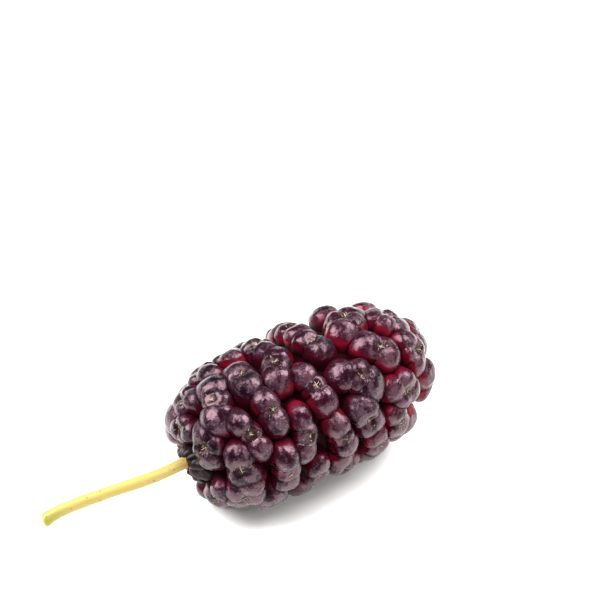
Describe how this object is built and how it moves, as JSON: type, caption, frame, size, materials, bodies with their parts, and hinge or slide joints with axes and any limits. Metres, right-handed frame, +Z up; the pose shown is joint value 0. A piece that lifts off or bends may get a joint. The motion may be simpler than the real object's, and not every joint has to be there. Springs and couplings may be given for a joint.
{
  "type": "mulberry fruit with stalk",
  "caption": "Ripe mulberry picked with its stalk and lying on its side: a long fruit of pinched, glossy drupelets grown together, with a thin curved stalk at one end.",
  "frame": {"origin": "on the surface that the fruit lies on, under the middle of the bounding box of fruit and stalk", "axes": "+Z up from the surface, +X along the fruit's axis from the stalk to the tip, +Y across"},
  "size_m": [0.0512, 0.0196, 0.0186],
  "materials": {
    "drupelet_skin": "glossy near-black purple fruit skin, deep crimson in the creases",
    "stalk_skin": "smooth pale yellow-green fruit stalk with a satin skin"
  },
  "bodies": {
    "root": {"fruit": "drupelet_skin", "stalk": "stalk_skin"}
  },
  "joints": []
}
